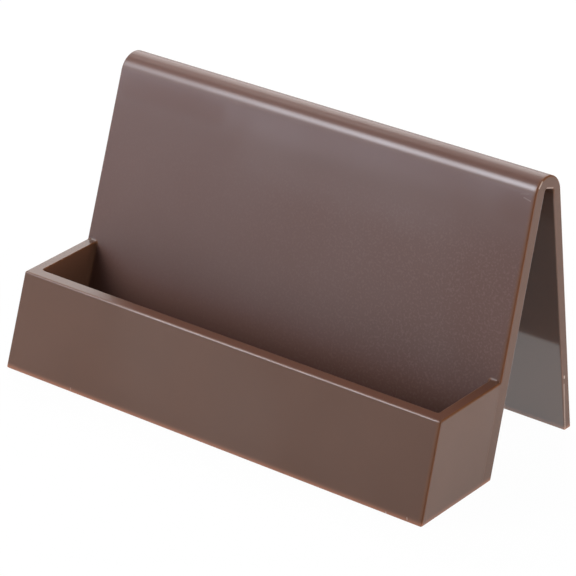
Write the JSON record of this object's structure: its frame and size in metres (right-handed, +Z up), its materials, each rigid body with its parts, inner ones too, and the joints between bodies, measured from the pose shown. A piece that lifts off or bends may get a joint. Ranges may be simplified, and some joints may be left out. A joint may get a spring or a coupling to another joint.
{
  "type": "business card stand",
  "caption": "Desk stand for business cards: an open tray in front of a tilted back panel that bends over at the top into a rear leg.",
  "frame": {"origin": "on the desk, under the middle of the stand's box", "axes": "+X along the cards, to the right as seen from the front; +Y from the tray to the leg; +Z up"},
  "size_m": [0.1, 0.0454, 0.0529],
  "materials": {
    "brown_plastic": "satin moulded plastic, dark brown"
  },
  "bodies": {
    "root": {"easel_sheet": "brown_plastic", "tray_floor": "brown_plastic", "tray_front": "brown_plastic", "tray_left_end": "brown_plastic", "tray_right_end": "brown_plastic"}
  },
  "joints": []
}
